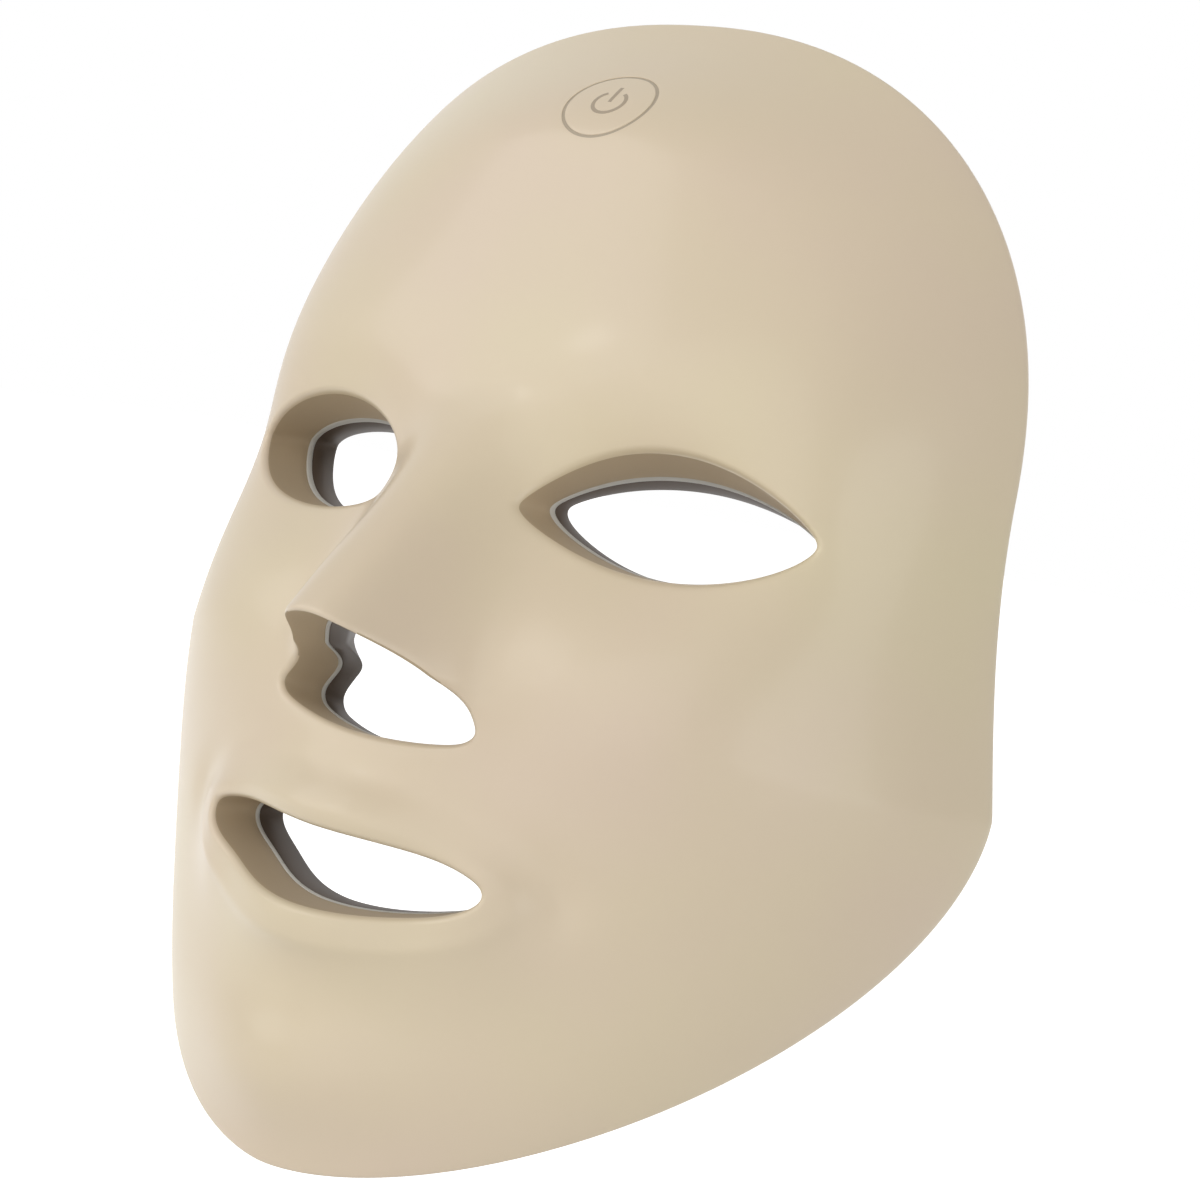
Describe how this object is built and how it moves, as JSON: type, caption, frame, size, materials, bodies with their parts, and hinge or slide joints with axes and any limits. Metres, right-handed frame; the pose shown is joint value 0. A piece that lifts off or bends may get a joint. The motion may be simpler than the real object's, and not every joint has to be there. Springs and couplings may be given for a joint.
{
  "type": "led face mask",
  "caption": "Rigid LED light therapy face mask shaped like a face, with openings for the eyes, nose and mouth, a power button in the forehead, light boards inside and strap slots at the sides.",
  "frame": {"origin": "on the symmetry plane, in the plane of the edges that lie in front of the wearer's ears", "axes": "+Z towards the crown, -Y out of the face, +X towards the wearer's left"},
  "size_m": [0.1874, 0.0939, 0.2252],
  "materials": {
    "beige_shell": "glossy moulded beige",
    "smoke_shell": "smoke tinted, glossy",
    "seal_rubber": "light grey, satin",
    "black_plastic": "black, matte",
    "green_board": "green solder mask",
    "white_board": "white solder mask",
    "amber_ribbon": "amber film",
    "cell_wrap": "pouch film",
    "steel": "satin"
  },
  "bodies": {
    "mask": {"front_shell": "beige_shell", "rear_shell": "smoke_shell", "left_eye_seal": "seal_rubber", "right_eye_seal": "seal_rubber", "nose_seal": "seal_rubber", "mouth_seal": "seal_rubber", "tact_switch": "black_plastic", "control_board": "green_board", "charging_socket": "steel", "board_connector": "white_board", "battery": "cell_wrap", "battery_lead": "black_plastic", "forehead_led_board": "white_board", "left_cheek_led_board": "white_board", "right_cheek_led_board": "white_board", "lip_led_board": "white_board", "chin_led_board": "white_board", "left_temple_ribbon": "amber_ribbon", "right_temple_ribbon": "amber_ribbon", "left_chin_ribbon": "amber_ribbon", "right_chin_ribbon": "amber_ribbon", "lip_ribbon": "amber_ribbon", "case_screw_1": "steel", "case_screw_2": "steel", "case_screw_3": "steel", "case_screw_4": "steel", "left_strap_bracket": "smoke_shell", "right_strap_bracket": "smoke_shell"},
    "button": {"power_button": "beige_shell"},
    "plunger": {"switch_plunger": "black_plastic"}
  },
  "joints": [
    {"name": "button_press", "type": "slide", "parent": "mask", "child": "button", "axis": [0, 0.7207, -0.6932], "range_m": [0, 0.0005], "stiffness_N_per_m": 2000},
    {"name": "plunger_press", "type": "slide", "parent": "mask", "child": "plunger", "axis": [0, 0.7207, -0.6932], "range_m": [0, 0.0005], "stiffness_N_per_m": 1}
  ],
  "couplings": [
    {"joint": "plunger_press", "follows": "button_press", "ratio": 1}
  ]
}
